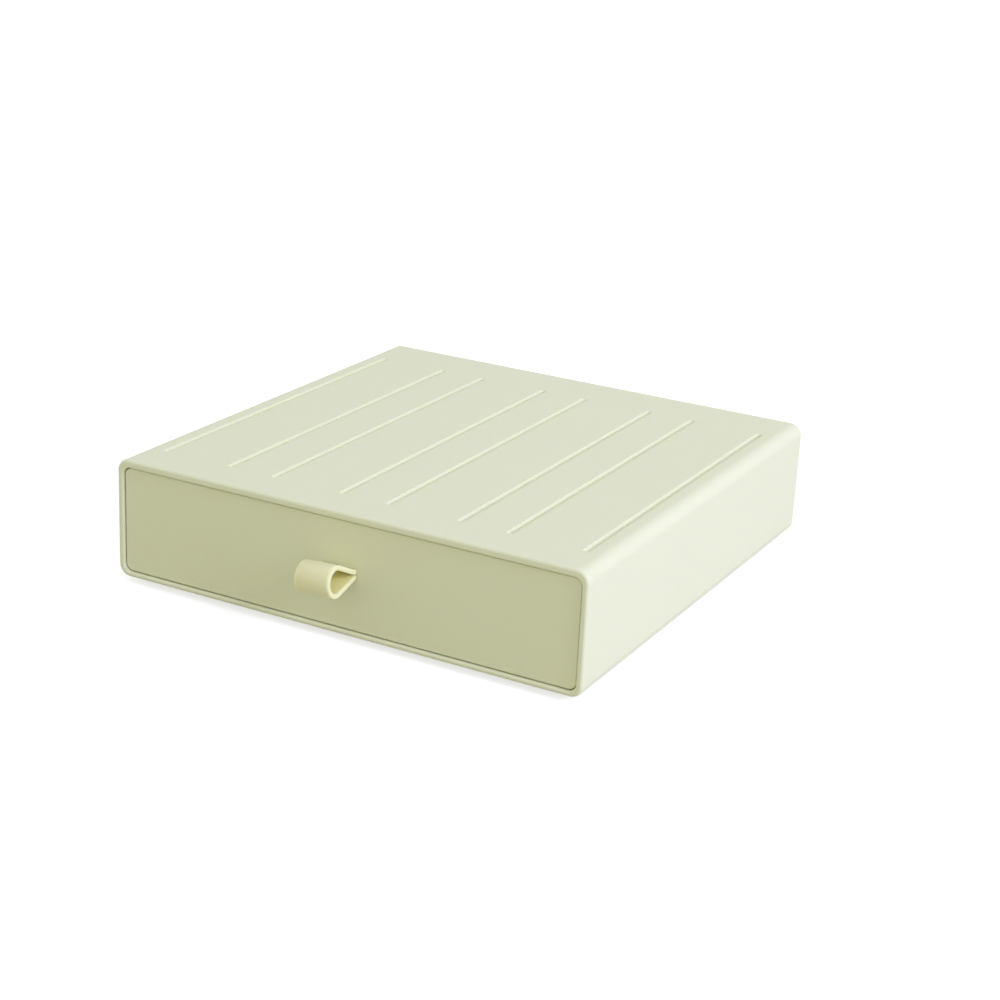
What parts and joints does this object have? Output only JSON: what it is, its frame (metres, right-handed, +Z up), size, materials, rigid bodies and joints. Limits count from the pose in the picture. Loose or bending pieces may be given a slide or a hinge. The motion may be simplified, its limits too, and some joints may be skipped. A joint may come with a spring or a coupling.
{
  "type": "drawer storage box",
  "caption": "Shallow desktop storage box: a moulded sleeve with grooved top and soft feet, and a drawer, its front just inside the sleeve's lip, that slides out by a folded strap pull.",
  "frame": {"origin": "on the surface that the box stands on, under the middle of the whole box with its pull", "axes": "+Z up; the drawer front faces -Y and the drawer slides out along -Y; +X is to the right seen from the front"},
  "size_m": [0.2, 0.2177, 0.05],
  "materials": {
    "case": "fine matte moulded texture, pale cream",
    "drawer": "fine matte moulded texture, pale cream",
    "strap": "soft satin band, pale cream",
    "foot": "soft matte pad, pale grey-cream",
    "clamp": "plain moulded",
    "screw": "zinc-plated steel"
  },
  "bodies": {
    "case": {"sleeve": "case", "rear_panel": "case", "foot_front_left": "foot", "foot_front_right": "foot", "foot_rear_left": "foot", "foot_rear_right": "foot"},
    "drawer": {"drawer_tray": "drawer", "drawer_front": "drawer", "pull_strap": "strap", "strap_clamp": "clamp", "clamp_screws": "screw"}
  },
  "joints": [
    {"name": "drawer_slide", "type": "slide", "parent": "case", "child": "drawer", "axis": [0, -1, 0], "range_m": [0, 0.15]}
  ]
}
